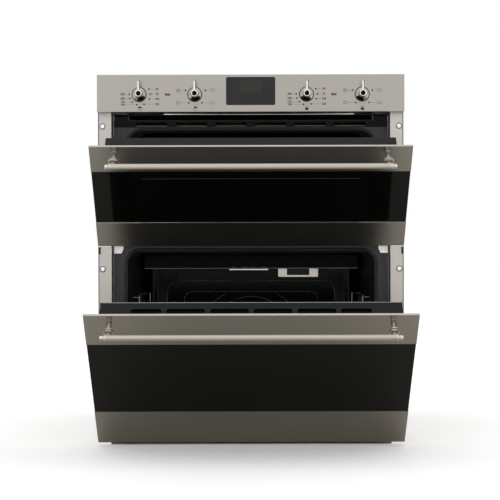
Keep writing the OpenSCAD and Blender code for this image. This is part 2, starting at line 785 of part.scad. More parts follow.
base_tray();
side_panels();
rear_panel();
top_cover();
partition_plate();
front_frame();
mounting_flanges();
fixing_bushes();
side_clips();
upper_cavity();
lower_cavity();
upper_gasket();
lower_gasket();
insulation();
upper_grill_element();
lower_grill_element();
base_elements();
ring_element();
grill_reflector();
fan_cover();
convection_fan();
fan_motor();
side_racks();
lamp_frames();
lamp_glasses();
vent_strip();
air_duct();
blower_housing();
cooling_fan();
blower_motor();
control_panel();
display_window();
display_module();
indicator_lamps();
selector_switches();
knob_bezels();
knob_1();
knob_2();
knob_3();
knob_4();
terminal_block();
cable_gland();
hinge_bodies();
hinge_springs();
upper_door_strips();
upper_door_glass();
upper_door_frame();
upper_inner_glass();
upper_door_trim();
upper_handle_bar();
upper_handle_posts();
upper_hinge_arms();
lower_door_strips();
lower_door_glass();
lower_door_frame();
lower_inner_glass();
lower_door_trim();
lower_handle_bar();
lower_handle_posts();
lower_hinge_arms();
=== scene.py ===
"""Looks of the built-under double oven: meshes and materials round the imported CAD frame.

Metres, in the CAD's frame: X right, Y back, Z up.
"""
import json
import math

import bmesh
import bpy
import numpy as np
from mathutils import Matrix, Vector


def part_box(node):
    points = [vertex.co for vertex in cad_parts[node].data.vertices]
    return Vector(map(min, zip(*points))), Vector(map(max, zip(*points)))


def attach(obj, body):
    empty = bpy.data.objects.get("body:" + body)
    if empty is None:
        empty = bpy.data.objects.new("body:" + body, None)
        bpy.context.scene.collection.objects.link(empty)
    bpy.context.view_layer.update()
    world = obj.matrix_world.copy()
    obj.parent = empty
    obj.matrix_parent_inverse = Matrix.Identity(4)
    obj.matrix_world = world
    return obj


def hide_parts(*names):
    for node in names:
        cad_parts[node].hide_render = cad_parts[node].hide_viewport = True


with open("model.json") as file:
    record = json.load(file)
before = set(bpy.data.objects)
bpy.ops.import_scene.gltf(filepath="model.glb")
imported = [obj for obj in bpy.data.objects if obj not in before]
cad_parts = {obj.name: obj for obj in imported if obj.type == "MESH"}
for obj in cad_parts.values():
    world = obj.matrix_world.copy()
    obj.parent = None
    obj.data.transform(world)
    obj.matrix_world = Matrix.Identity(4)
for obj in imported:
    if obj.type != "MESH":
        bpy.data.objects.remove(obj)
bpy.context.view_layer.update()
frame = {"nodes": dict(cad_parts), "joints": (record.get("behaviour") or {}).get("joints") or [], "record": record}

MM = 0.001
JOINTS = {joint["name"]: joint for joint in frame["joints"]}
CAD_SLOTS = {part["node"]: part["material_slot"] for part in frame["record"]["subparts"]}
BODIES = frame["record"]["behaviour"]["bodies"]


# ---- materials

class Shader:
    """A material with one Principled shader, and short calls for the nodes that feed it."""

    def __init__(self, name, color, metallic=0.0, roughness=0.5, **sockets):
        self.material = bpy.data.materials.new(name)
        self.material.use_nodes = True
        self.tree = self.material.node_tree
        self.bsdf = self.tree.nodes["Principled BSDF"]
        self.set("Base Color", (*color, 1.0))
        self.set("Metallic", metallic)
        self.set("Roughness", roughness)
        for socket, value in sockets.items():
            self.set(socket.replace("_", " "), value)
        self.material.diffuse_color = (*color, 1.0)
        self.plain_color, self.plain_roughness = color, roughness

    def set(self, socket, value):
        self.bsdf.inputs[socket].default_value = value

    def link(self, source, target):
        self.tree.links.new(source, target)

    def node(self, kind, **inputs):
        node = self.tree.nodes.new("ShaderNode" + kind)
        for key, value in inputs.items():
            socket = node.inputs[key.replace("_", " ")]
            if hasattr(value, "is_output"):
                self.link(value, socket)
            else:
                socket.default_value = value
        return node

    def place(self, scale=(1, 1, 1)):
        """Object coordinates, in metres, stretched by scale."""
        coordinates = self.node("TexCoord").outputs["Object"]
        return self.node("Mapping", Vector=coordinates, Scale=scale).outputs["Vector"]

    def noise(self, vector, scale=1.0, detail=3.0, roughness=0.5):
        node = self.node("TexNoise", Vector=vector, Scale=scale, Detail=detail, Roughness=roughness)
        return node.outputs["Fac"]

    def cells(self, vector, scale, output="Distance"):
        return self.node("TexVoronoi", Vector=vector, Scale=scale).outputs[output]

    def ramp(self, factor, low, high, start=0.0, end=1.0):
        """Colour between low and high as factor goes from start to end."""
        node = self.node("ValToRGB", Fac=factor)
        for stop, value, at in zip(node.color_ramp.elements, (low, high), (start, end)):
            stop.position = at
            stop.color = (*value, 1.0)
        return node.outputs["Color"]

    def range(self, factor, low, high, start=0.0, end=1.0):
        """Number between low and high as factor goes from start to end."""
        node = self.node("MapRange", Value=factor, From_Min=start, From_Max=end, To_Min=low, To_Max=high)
        return node.outputs["Result"]

    def blend(self, first, second, share):
        """first, with second added at that share."""
        node = self.node("Math", Value=second)
        node.operation = "MULTIPLY_ADD"
        node.inputs[1].default_value = share
        self.link(first, node.inputs[2])
        return node.outputs["Value"]

    def color(self, source):
        self.link(source, self.bsdf.inputs["Base Color"])

    def vary_color(self, factor, low, high, start=0.3, end=0.7):
        """The plain colour times low to high, as factor goes from start to end."""
        self.color(self.ramp(factor, shade(self.plain_color, low), shade(self.plain_color, high), start, end))

    def vary_roughness(self, factor, low, high, start=0.3, end=0.7):
        """The plain roughness times low to high, as factor goes from start to end."""
        plain = self.plain_roughness
        self.link(self.range(factor, plain * low, plain * high, start, end), self.bsdf.inputs["Roughness"])

    def bump(self, height, strength, distance):
        node = self.node("Bump", Height=height, Strength=strength, Distance=distance)
        self.link(node.outputs["Normal"], self.bsdf.inputs["Normal"])

    def stretch_across(self):
        """Highlights spread across the grinding lines, along the U of the across map."""
        tangent = self.node("Tangent")
        tangent.direction_type = "UV_MAP"
        tangent.uv_map = "across"
        self.link(tangent.outputs["Tangent"], self.bsdf.inputs["Tangent"])


def mm(*sizes):
    """Turns millimetres into metres."""
    return [size * MM for size in sizes]


def shade(color, factor):
    return tuple(channel * factor for channel in color)


def brushed(name, color, roughness, along=(5, 2400, 2400), anisotropy=0.7):
    """Steel with fine grinding lines, along X unless told otherwise."""
    s = Shader(name, color, metallic=1.0, roughness=roughness, Anisotropic=anisotropy)
    lines = s.noise(s.place(along), detail=5.0, roughness=0.65)
    cloud = s.noise(s.place((4, 9, 9)))
    s.vary_color(s.blend(lines, cloud, share=0.3), 0.95, 1.05, start=0.4, end=0.9)
    s.vary_roughness(lines, 0.94, 1.1)
    s.bump(lines, strength=0.06, distance=0.015 * MM)
    s.stretch_across()
    return s.material


def galvanised(name, color, roughness):
    """Zinc-coated sheet with its crystal spangle."""
    s = Shader(name, color, metallic=0.85, roughness=roughness)
    spangle = s.cells(s.place(), scale=95.0, output="Color")
    grey = s.node("RGBToBW", Color=spangle).outputs["Val"]
    cloud = s.noise(s.place(), scale=6.0)
    s.vary_color(s.blend(grey, cloud, share=0.8), 0.87, 1.07, start=0.5, end=1.0)
    s.vary_roughness(grey, 0.8, 1.25, start=0.0, end=1.0)
    s.bump(s.noise(s.place(), scale=900.0, detail=4.0), strength=0.1, distance=0.1 * MM)
    return s.material


def enamel(name, color, roughness, speck=0.004, gloss=0.5):
    """Vitreous enamel: orange-peel surface with fine specks, paler by speck."""
    s = Shader(name, color, roughness=roughness, Specular_IOR_Level=gloss)
    pale = tuple(channel + speck for channel in color)
    s.color(s.ramp(s.cells(s.place(), scale=620.0), pale, color, start=0.06, end=0.14))
    peel = s.noise(s.place(), scale=160.0, detail=2.0)
    s.vary_roughness(peel, 0.8, 1.3)
    s.bump(peel, strength=0.1, distance=0.4 * MM)
    return s.material


def polished(name, color, roughness):
    """Plated or turned metal with faint wiping marks."""
    s = Shader(name, color, metallic=1.0, roughness=roughness)
    marks = s.noise(s.place((40, 260, 260)), detail=4.0, roughness=0.6)
    s.vary_color(marks, 0.93, 1.04)
    s.vary_roughness(marks, 0.7, 1.7)
    s.bump(marks, strength=0.05, distance=0.03 * MM)
    return s.material


def moulded(name, color, roughness, grain=1400.0):
    """Plastic, rubber or paint with a fine grain."""
    s = Shader(name, color, roughness=roughness)
    spots = s.noise(s.place(), scale=grain, detail=2.0)
    s.vary_color(s.noise(s.place(), scale=24.0), 0.88, 1.1)
    s.vary_roughness(spots, 0.85, 1.15)
    s.bump(spots, strength=0.2, distance=0.06 * MM)
    return s.material


def black_glass(name, color, roughness, gloss):
    """Back-printed glass, opaque, with a trace of haze."""
    s = Shader(name, color, roughness=roughness, Specular_IOR_Level=gloss)
    haze = s.noise(s.place((3, 6, 6)), detail=4.0)
    s.vary_color(haze, 0.8, 1.3, start=0.35)
    s.vary_roughness(haze, 0.7, 1.8, start=0.35)
    return s.material


def smoked_glass(name, color, roughness, transmission):
    """Dark glass that lets a little light through."""
    s = Shader(name, color, roughness=roughness, IOR=1.5, Transmission_Weight=transmission)
    s.vary_roughness(s.noise(s.place(), scale=5.0), 1.0, 2.5)
    return s.material


def heated_metal(name, color, roughness):
    """Element sheath or fan sheet, tinted by heat."""
    s = Shader(name, color, metallic=0.9, roughness=roughness)
    tint = s.noise(s.place(), scale=18.0)
    warm = tuple(channel * share for channel, share in zip(color, (1.15, 0.98, 0.82)))
    s.color(s.ramp(tint, shade(color, 0.8), warm, start=0.35, end=0.7))
    s.vary_roughness(tint, 0.8, 1.3)
    s.bump(s.noise(s.place(), scale=700.0), strength=0.15, distance=0.1 * MM)
    return s.material


def wool(name, color, roughness):
    """Matted mineral fibre."""
    s = Shader(name, color, roughness=roughness, Sheen_Weight=0.3)
    fibre = s.noise(s.place((60, 60, 400)), detail=6.0, roughness=0.7)
    s.vary_color(fibre, 0.6, 1.15)
    s.bump(fibre, strength=0.8, distance=2 * MM)
    return s.material


def printed(name, color, roughness):
    """Screen-printed ink."""
    s = Shader(name, color, roughness=roughness, Specular_IOR_Level=0.3)
    s.vary_color(s.noise(s.place(), scale=2500.0, detail=2.0), 0.8, 1.25)
    return s.material


# How each material is made, its colour and roughness, and what differs from the maker's usual
RECIPES = {
    "panel_steel": (brushed, (0.447, 0.424, 0.388), 0.32),
    "door_steel": (brushed, (0.47, 0.45, 0.41), 0.24),
    "handle_steel": (brushed, (0.55, 0.51, 0.45), 0.34),
    "flange_steel": (brushed, (0.57, 0.54, 0.5), 0.4, {"along": (900, 900, 6), "anisotropy": 0.0}),
    "bright_zinc": (galvanised, (0.88, 0.87, 0.83), 0.35),
    "galvanised": (galvanised, (0.55, 0.525, 0.49), 0.42),
    # The air duct, deep in the recess under the panel: galvanised steel made near black, painted shade
    "duct_steel": (galvanised, (0.045, 0.045, 0.045), 0.42),
    "black_enamel": (enamel, (0.0018, 0.002, 0.002), 0.13, {"gloss": 0.1}),
    "skirt_enamel": (enamel, (0.0018, 0.002, 0.002), 0.4, {"gloss": 0.04}),
    "frame_enamel": (enamel, (0.025, 0.0258, 0.0265), 0.34, {"speck": 0.012, "gloss": 0.4}),
    "door_body": (enamel, (0.0048, 0.0049, 0.0048), 0.38, {"gloss": 0.18}),
    "element_sheath": (heated_metal, (0.13, 0.125, 0.12), 0.4),
    "fan_metal": (heated_metal, (0.6, 0.59, 0.57), 0.35),
    "motor_metal": (moulded, (0.1, 0.1, 0.105), 0.4, {"grain": 500.0}),
    "fitting_steel": (polished, (0.64, 0.605, 0.55), 0.2),
    "lamp_trim": (polished, (0.5, 0.46, 0.4), 0.1),
    # The handles' posts: a darker copy of the fittings' steel, painted shade
    "post_steel": (polished, (0.32, 0.285, 0.25), 0.22),
    "chrome_wire": (polished, (0.48, 0.475, 0.47), 0.12),
    "chrome_trim": (polished, (0.78, 0.74, 0.68), 0.07),
    # The knobs' domes: a darker copy of chrome_trim, painted shade
    "knob_chrome": (polished, (0.44, 0.405, 0.34), 0.06),
    # Light grey for thin rods that paint highlights along dark edges
    "bead_enamel": (moulded, (0.36, 0.365, 0.365), 0.35),
    "spring_steel": (polished, (0.3, 0.3, 0.31), 0.3),
    "screw_metal": (polished, (0.55, 0.53, 0.48), 0.25),
    "black_rubber": (moulded, (0.012, 0.012, 0.012), 0.6),
    "black_plastic": (moulded, (0.014, 0.014, 0.0145), 0.42),
    "white_plastic": (moulded, (0.86, 0.86, 0.84), 0.4),
    "switch_plastic": (moulded, (0.72, 0.69, 0.6), 0.45),
    "circuit_board": (moulded, (0.02, 0.12, 0.05), 0.35, {"grain": 300.0}),
    "lamp_lens": (moulded, (0.17, 0.05, 0.03), 0.25),
    "lamp_glass": (black_glass, (0.004, 0.0045, 0.004), 0.08, {"gloss": 0.15}),
    "door_glass": (black_glass, (0.0014, 0.0018, 0.0012), 0.03, {"gloss": 0.3}),
    "display_glass": (black_glass, (0.013, 0.013, 0.014), 0.09, {"gloss": 0.3}),
    "inner_glass": (smoked_glass, (0.045, 0.047, 0.046), 0.03, {"transmission": 0.3}),
    "mineral_wool": (wool, (0.2, 0.19, 0.15), 0.95),
    "ink": (printed, (0.008, 0.008, 0.008), 0.55),
    "pale_ink": (printed, (0.045, 0.046, 0.048), 0.55),
    "lcd": (printed, (0.024, 0.0245, 0.02), 0.55),
}
MATERIALS = {name: make(name, color, roughness, **dict(*extra))
             for name, (make, color, roughness, *extra) in RECIPES.items()}
# Nodes whose look differs from that of their slot's material
OTHER_MATERIAL = {"front_frame": "frame_enamel", "mounting_flanges": "flange_steel", "air_duct": "duct_steel",
                  "hinge_bodies": "bright_zinc", "lamp_frames": "lamp_trim", "knob_bezels": "black_plastic",
                  "grill_reflector": "skirt_enamel"}


def dress(obj, material):
    obj.data.materials.clear()
    obj.data.materials.append(MATERIALS[material])


for node_name, node_object in frame["nodes"].items():
    dress(node_object, OTHER_MATERIAL.get(node_name, CAD_SLOTS[node_name]))


# ---- mesh tools

SMOOTH_ANGLE, SEAL_SMOOTH_ANGLE = 35.0, 50.0
# How much a place's Y adds to the across map's U and V, so that level faces have grinding lines too
ACROSS_LEAN, ALONG_LEAN = 0.7, 0.05


def finish_mesh(mesh, smooth_angle):
    """Smooth shading with creases, and a UV map whose U runs across the grinding lines."""
    mesh.validate()
    imported_normals = mesh.attributes.get("custom_normal")
    if imported_normals:
        mesh.attributes.remove(imported_normals)
    mesh.polygons.foreach_set("use_smooth", [True] * len(mesh.polygons))
    mesh.set_sharp_from_angle(angle=math.radians(smooth_angle))
    places = np.zeros(len(mesh.vertices) * 3)
    mesh.vertices.foreach_get("co", places)
    corners = np.zeros(len(mesh.loops), dtype=np.int32)
    mesh.loops.foreach_get("vertex_index", corners)
    x, y, z = places.reshape(-1, 3)[corners].T
    layer = mesh.uv_layers.get("across") or mesh.uv_layers.new(name="across")
    layer.data.foreach_set("uv", np.column_stack((z + ACROSS_LEAN * y, x + ALONG_LEAN * y)).ravel())


def blank(count):
    return [bmesh.new() for _ in range(count)]


def in_scene(name, data):
    obj = bpy.data.objects.new(name, data)
    bpy.context.scene.collection.objects.link(obj)
    return obj


def add(name, bm, material, body="carcass", replaces=(), smooth_angle=SMOOTH_ANGLE):
    """Turns a bmesh into a piece that rides on a body."""
    bmesh.ops.recalc_face_normals(bm, faces=bm.faces)
    mesh = bpy.data.meshes.new(name)
    bm.to_mesh(mesh)
    bm.free()
    finish_mesh(mesh, smooth_angle)
    obj = in_scene(name, mesh)
    dress(obj, material)
    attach(obj, body)
    if replaces:
        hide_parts(*replaces)
    return obj


def soften(bm, width, segments=2, angle=30.0):
    """Rounds every edge that turns by more than angle."""
    limit = math.radians(angle)
    edges = [edge for edge in bm.edges if len(edge.link_faces) == 2 and edge.calc_face_angle(0) > limit]
    if edges:
        bmesh.ops.bevel(bm, geom=edges, offset=width, segments=segments, profile=0.5,
                        affect="EDGES", clamp_overlap=True)


def body_of(node):
    return next(body for body, nodes in BODIES.items() if node in nodes)


def whole_faces(node, weld=1e-6, flat_angle=0.5):
    """The CAD node's solid with its triangles joined into flat faces."""
    bm = bmesh.new()
    bm.from_mesh(frame["nodes"][node].data)
    bmesh.ops.remove_doubles(bm, verts=bm.verts, dist=weld)
    bmesh.ops.dissolve_limit(bm, angle_limit=math.radians(flat_angle), verts=bm.verts, edges=bm.edges)
    return bm


def refined(node, width):
    """Stands for a CAD node: the same solid with softened edges."""
    bm = whole_faces(node)
    soften(bm, width)
    material = OTHER_MATERIAL.get(node, CAD_SLOTS[node])
    obj = add(node + "_finish", bm, material, body_of(node), (node,))
    # Broad flat faces stay flat in the shading of their rounded edges
    obj.modifiers.new("even_faces", "WEIGHTED_NORMAL").keep_sharp = True


def aimed(place, direction):
    """Matrix that carries local +Z to direction and the origin to place."""
    turn = Vector(direction).to_track_quat("Z", "Y").to_matrix().to_4x4()
    return Matrix.Translation(Vector(place)) @ turn


def in_metres(points):
    return [(a * MM, b * MM) for a, b in points]


def skin(bm, rings, closed=False):
    """Joins rings of points. The ends are capped, or meet if closed."""
    rows = [[bm.verts.new(point) for point in ring] for ring in rings]
    count = len(rows[0])
    for index in range(len(rows) if closed else len(rows) - 1):
        row, following = rows[index], rows[(index + 1) % len(rows)]
        for corner in range(count):
            after = (corner + 1) % count
            bm.faces.new((row[corner], row[after], following[after], following[corner]))
    if not closed:
        bm.faces.new(rows[0][::-1])
        bm.faces.new(rows[-1])


def circle(segments):
    return [2 * math.pi * step / segments for step in range(segments)]


def polar(radius, angle):
    return radius * math.cos(angle), radius * math.sin(angle)


def lathe(bm, profile, matrix, segments=48, closed=False):
    """Turns (radius, height) points, both in metres, about local Z. A closed profile makes a ring."""
    turn = [(math.cos(a), math.sin(a)) for a in circle(segments)]
    skin(bm, [[matrix @ Vector((radius * x, radius * y, height)) for x, y in turn]
              for radius, height in profile], closed)


def append(bm, part, matrix=None):
    """Moves part by matrix and adds it to bm."""
    if matrix:
        bmesh.ops.transform(part, matrix=matrix, verts=part.verts)
    mesh = bpy.data.meshes.new("part")
    part.to_mesh(mesh)
    part.free()
    bm.from_mesh(mesh)
    bpy.data.meshes.remove(mesh)


def slab(bm, low, high, bevel=0.0, matrix=None):
    """A block between two corners with rounded edges."""
    low, high = Vector(low), Vector(high)
    part = bmesh.new()
    bmesh.ops.create_cube(part, size=1.0)
    size, middle = high - low, (high + low) / 2
    for vert in part.verts:
        vert.co = middle + Vector([vert.co[i] * size[i] for i in range(3)])
    if bevel:
        soften(part, bevel)
    append(bm, part, matrix)


def plate(bm, outline, thickness, matrix, bevel=0.0):
    """A flat outline of (x, y) points raised along local Z."""
    part = bmesh.new()
    skin(part, [[Vector((x, y, height)) for x, y in outline] for height in (0.0, thickness)])
    if bevel:
        soften(part, bevel)
    append(bm, part, matrix)


def round_rect(width, height, radius, steps=8):
    """Outline of a centred rectangle with round corners."""
    points = []
    for corner, (side, up) in enumerate(((1, 1), (-1, 1), (-1, -1), (1, -1))):
        for step in range(steps + 1):
            angle = math.pi / 2 * (corner + step / steps)
            x, y = polar(radius, angle)
            points.append((side * (width / 2 - radius) + x, up * (height / 2 - radius) + y))
    return points


def tube(bm, path, radius, segments=12, tip=0.7, tip_length=0.3):
    """A round rod along an open path. Its ends narrow to tip, both in radii, over tip_length."""
    path = [Vector(point) for point in path]
    last = len(path) - 1
    side = (path[1] - path[0]).orthogonal()
    rings = []
    for index, place in enumerate(path):
        tangent = (path[min(index + 1, last)] - path[max(index - 1, 0)]).normalized()
        side = (side - tangent * side.dot(tangent)).normalized()
        other = tangent.cross(side)
        ends = {0: ((tip, 0.0), (1.0, tip_length)), last: ((1.0, -tip_length), (tip, 0.0))}
        for size, shift in ends.get(index, ((1.0, 0.0),)):
            centre = place + tangent * shift * radius
            rings.append([centre + (side * math.cos(a) + other * math.sin(a)) * radius * size
                          for a in circle(segments)])
    skin(bm, rings)


def opened(door):
    """Carries a place on the closed door to where it is on the door as the CAD has it, ajar."""
    hinge = JOINTS[door + "_hinge"]
    pivot = Vector(hinge["pos_m"])
    opening = math.radians(-hinge["range_deg"][0])
    return Matrix.Translation(pivot) @ Matrix.Rotation(opening, 4, "X") @ Matrix.Translation(-pivot)


def closed_box(node):
    """A door node's lowest and highest corners with the door closed."""
    back = opened(body_of(node)).inverted()
    places = [back @ vertex.co for vertex in frame["nodes"][node].data.vertices]
    return [Vector([pick(place[i] for place in places) for i in range(3)]) for pick in (min, max)]


# Half section of a screw's head, in head radii, from the middle of its drive to its rim
SCREW = ((0.001, 0.35), (0.38, 0.35), (0.42, 0.62), (0.62, 0.62), (0.86, 0.42), (1.0, 0.12), (1.0, 0.0))
DRIVE_POINTS = (1, 2)
DRIVE_LOBES, LOBE_DEPTH = 6, 0.14
SCREW_RADIUS = 3.4 * MM


def screws(name, places, direction):
    """Pan-head screws with a six-lobe drive, all facing one way."""
    bm = bmesh.new()
    for place in places:
        matrix = aimed(place, direction)
        rings = []
        for index, (size, height) in enumerate(SCREW):
            lobe, z = LOBE_DEPTH if index in DRIVE_POINTS else 0.0, height * SCREW_RADIUS
            rings.append([])
            for a in circle(36):
                reach = size * SCREW_RADIUS * (1 + lobe * math.cos(DRIVE_LOBES * a))
                rings[-1].append(matrix @ Vector((*polar(reach, a), z)))
        skin(bm, rings)
    add(name, bm, "screw_metal")


# ---- CAD shapes with softened edges

# How wide the edges' rounding is, and the nodes that have it
EDGES = (
    (0.9 * MM, ("upper_door_strips", "lower_door_strips", "upper_door_trim", "lower_door_trim")),
    (1.2 * MM, ("fan_cover",)),
    (0.5 * MM, ("control_panel", "display_window", "upper_door_frame", "lower_door_frame", "lamp_glasses",
                "indicator_lamps", "side_clips", "terminal_block")),
    (0.3 * MM, ("upper_door_glass", "lower_door_glass", "upper_inner_glass", "lower_inner_glass",
                "mounting_flanges", "front_frame", "vent_strip", "air_duct", "hinge_bodies",
                "upper_hinge_arms", "lower_hinge_arms", "base_tray", "side_panels", "rear_panel",
                "top_cover", "grill_reflector", "cable_gland", "knob_bezels")),
)
for edge, members in EDGES:
    for member in members:
        refined(member, edge)


# ---- handles

# Half sections of a handle's turned parts, in millimetres.
# A fitting: how much wider than the bar it is, and how far out from the bar's end
FITTING = ((-0.6, 0), (0.5, 0), (0.8, 0.3), (0.8, 2.2), (0.5, 2.5), (0.5, 3.3), (0.8, 3.6), (0.8, 5.5),
           (0.5, 5.8), (-1.6, 5.9), (-1.6, 7.0), (-1.2, 7.1), (-0.8, 7.4))
# Its tip: the same, but measured back from the fitting's far end
FITTING_TIP = ((-0.8, 0.7), (-1.0, 0.3), (-1.5, 0.0))
# A post: radius, and how far in from the bar's middle
POST = ((5.4, 3.0), (5.6, 3.4), (5.6, 9.2), (5.2, 9.8), (5.2, 17.2), (4.6, 17.8))
# Its foot: radius, and how far in front of the door's face
POST_FOOT = ((4.6, 1.0), (5.4, 0.2), (5.4, 0.0))
POST_INSET = 1.1
# One of a post's two collars: radius and height, and how far in from the bar's middle each collar starts
COLLAR = ((5.0, 0.0), (8.8, 0.0), (9.2, 0.4), (9.2, 1.3), (8.8, 1.7), (5.0, 1.7))
COLLAR_PLACES = (10.9, 15.3)
BAR_END = 0.25 * MM
BAR_END_SHARE = 0.9


def make_handle(door):
    """Satin bar between two turned fittings, each on a post with two collars. The posts are darker than the
    fittings: painted shade.
    """
    body, matrix = door + "_door", opened(door + "_door")
    low, high = closed_box(door + "_handle_bar")
    radius = (high.z - low.z) / 2
    half, y, z = high.x, (low.y + high.y) / 2, (low.z + high.z) / 2
    bar = bmesh.new()
    bar_profile = [(radius * BAR_END_SHARE, 0), (radius, BAR_END), (radius, 2 * half - BAR_END),
                   (radius * BAR_END_SHARE, 2 * half)]
    lathe(bar, bar_profile, matrix @ aimed((-half, y, z), (1, 0, 0)), 64)
    add(door + "_handle_bar_finish", bar, "handle_steel", body, [door + "_handle_bar"])
    length = (closed_box(door + "_handle_posts")[1].x - half) / MM
    width = radius / MM
    fitting = [(width + a, b) for a, b in FITTING] + [(width + a, length - b) for a, b in FITTING_TIP]
    reach = (closed_box(door + "_door_strips")[0].y - y) / MM
    post = list(POST) + [(a, reach - b) for a, b in POST_FOOT]
    fittings, posts = blank(2)
    for side in (-1, 1):
        post_place = matrix @ aimed((side * (half - POST_INSET * MM), y, z), (0, 1, 0))
        lathe(fittings, in_metres(fitting), matrix @ aimed((side * half, y, z), (side, 0, 0)))
        lathe(posts, in_metres(post), post_place)
        for near in COLLAR_PLACES:
            lathe(fittings, in_metres((a, near + b) for a, b in COLLAR), post_place, closed=True)
    add(door + "_handle_fittings", fittings, "fitting_steel", body, [door + "_handle_posts"])
    add(door + "_handle_post_necks", posts, "post_steel", body)


for door_name in ("upper", "lower"):
    make_handle(door_name)


# ---- control panel

PANEL_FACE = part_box("control_panel")[0].y
KNOB_JOINTS = ("upper_temperature_knob_turn", "upper_function_knob_turn",
               "lower_temperature_knob_turn", "lower_function_knob_turn")
KNOB_Z = JOINTS[KNOB_JOINTS[0]]["pos_m"][2]
KNOB_OUT = (PANEL_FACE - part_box("knob_1")[0].y) / MM
# Half sections of a knob in millimetres: radius, and how far out from the panel's face
KNOB_DOME = ((6, 0.9), (12.8, 0.9), (13.3, 1.3), (13.4, 2.0), (13.1, 2.8), (12.3, 3.8), (11.1, 4.8),
             (9.8, 5.7), (8.6, 6.7), (7.6, 7.8), (6.8, 9.1), (6.3, 10.4), (5, 10.5))
KNOB_HEAD = ((5, 10.2), (6.1, 10.3), (6.0, 12), (5.9, 14), (5.9, 18.6), (6.3, 19.6), (6.8, 20.2))
# The same for its nose, but measured back from the knob's front
KNOB_NOSE = ((6.8, 0.8), (6.5, 0.25), (6.0, 0), (4.9, 0), (4.6, 0.3), (4.5, 0.9), (4.5, 2))
KNOB_DISH = ((4.4, 2.2), (4.4, 1.9), (3.6, 1.7), (2.0, 1.5), (0.4, 1.45))
# The lever and the dark strip to its right, a painted shadow, seen from the front: right of the spindle and up
# from it
KNOB_LEVER = ((-2.3, 5.2), (2.3, 5.2), (1.9, 22.6), (1.2, 23.8), (0.0, 24.0), (-1.2, 23.8), (-1.9, 22.6))
KNOB_LEVER_SHADOW = ((1.6, 8.0), (3.3, 8.0), (2.9, 24.4), (2.2, 25.0), (0.9, 24.2))
LEVER_OUT = KNOB_OUT - 3.6
LEVER_THICKNESS, LEVER_ROUND = mm(3.1, 0.5)
LEVER_SHADOW_THICKNESS, LEVER_SHADOW_ROUND = mm(2.0, 0.2)
FACING_FRONT = Matrix.Rotation(math.pi / 2, 4, "X")


def make_knob(number, joint):
    """Chrome dome and neck with a front ring, a lever, and a dark hollow middle. The dark strip right of the lever
    is a painted shadow, and the dome's darker chrome is painted shade.
    """
    body = JOINTS[joint]["child"]
    x, _, z = JOINTS[joint]["pos_m"]
    matrix = aimed((x, PANEL_FACE, z), (0, -1, 0))
    dome, head, middle, lever_shadow = blank(4)
    nose, dish = ([(a, KNOB_OUT - b) for a, b in points] for points in (KNOB_NOSE, KNOB_DISH))
    for bm, profile in ((dome, KNOB_DOME), (head, (*KNOB_HEAD, *nose)), (middle, dish)):
        lathe(bm, in_metres(profile), matrix, 72)
    lever_back = Matrix.Translation((x, PANEL_FACE - LEVER_OUT * MM, z)) @ FACING_FRONT
    plate(head, in_metres(KNOB_LEVER), LEVER_THICKNESS, lever_back, LEVER_ROUND)
    plate(lever_shadow, in_metres(KNOB_LEVER_SHADOW), LEVER_SHADOW_THICKNESS, lever_back, LEVER_SHADOW_ROUND)
    add(f"knob_{number}_dome", dome, "knob_chrome", body, [f"knob_{number}"])
    add(f"knob_{number}_head", head, "chrome_trim", body)
    add(f"knob_{number}_middle", middle, "skirt_enamel", body)
    add(f"knob_{number}_flank", lever_shadow, "skirt_enamel", body)


for knob_number, knob_joint in enumerate(KNOB_JOINTS, start=1):
    make_knob(knob_number, knob_joint)


INK_DEPTH = 0.03 * MM
# Everything else that is printed is in millimetres
THIN_LINE = 0.3
DIAL_RADIUS, DOT_RADIUS = 20.6, 1.65
# A leader runs from just outside its dot to just short of its label, if that leaves enough to draw
LEADER_START, LEADER_GAP, LEADER_WIDTH, LEADER_LEAST = 1.8, 1, 0.36, 1
LABEL_OUT = 33.4
NUMBER_WIDTH, DIGIT_HEIGHT = 8, 3.9
# The font's size and its added boldness, for digits that are one unit high
FONT_SIZE, FONT_BOLD = 1.4, 0.05
# How far right of its knob each dial is printed
INK_SHIFT = (1.3, 1.3, 0.4, 0.4)
# Angle of each mark, anticlockwise from the right, and its number
TEMPERATURES = ((31, "50"), (2, "75"), (-25, "100"), (-66, "125"),
                (-107, "150"), (-135, "175"), (-158, "200"), (-182, "250"))
# Angle of each mark on a function dial, and whether the top, base and fan heat are on there
FUNCTIONS = ((22, (True, False, False)), (-52, (False, True, False)),
             (-128, (True, True, False)), (158, (True, True, True)))
HEAT_WIDTH, HEAT_HEIGHT, HEAT_LINE = 7.6, 5.4, 0.42
BAR_REACH, BAR_UP, BAR_LINE = 2.5, 1.5, 0.6
FAN_REACH, FAN_LINE = 1.1, 0.35
ICON_DOWN, ICON_WIDTH, ICON_HEIGHT, ICON_LINE = 27.2, 5.6, 6.8, 0.55
SHELF_REACH, SHELF_UP = 2.7, 0.9
# How far up from the icon's middle, how wide and how high its filled cavity is
UPPER_FILL, LOWER_FILL = (2.1, 5.0, 2.2), (-1.2, 5.0, 3.8)
FIELD_WIDTH, FIELD_HEIGHT, FIELD_UP, FIELD_CORNER = 43.5, 21.4, 9.5, 1.0
# The touch marks are a power ring, an arrow, a clock, an arrow and a plus
MARK_DOWN, ARROW_OUT, END_OUT = 15.8, 15, 31
MARK_REACH, ARROW_RISE, MARK_RING, MARK_LINE = 1.6, 0.8, 1.7, 0.35
HOUR_HAND, MINUTE_HAND = 0.9, 1.1
RING_OPENS, RING_TURN = 40, 280


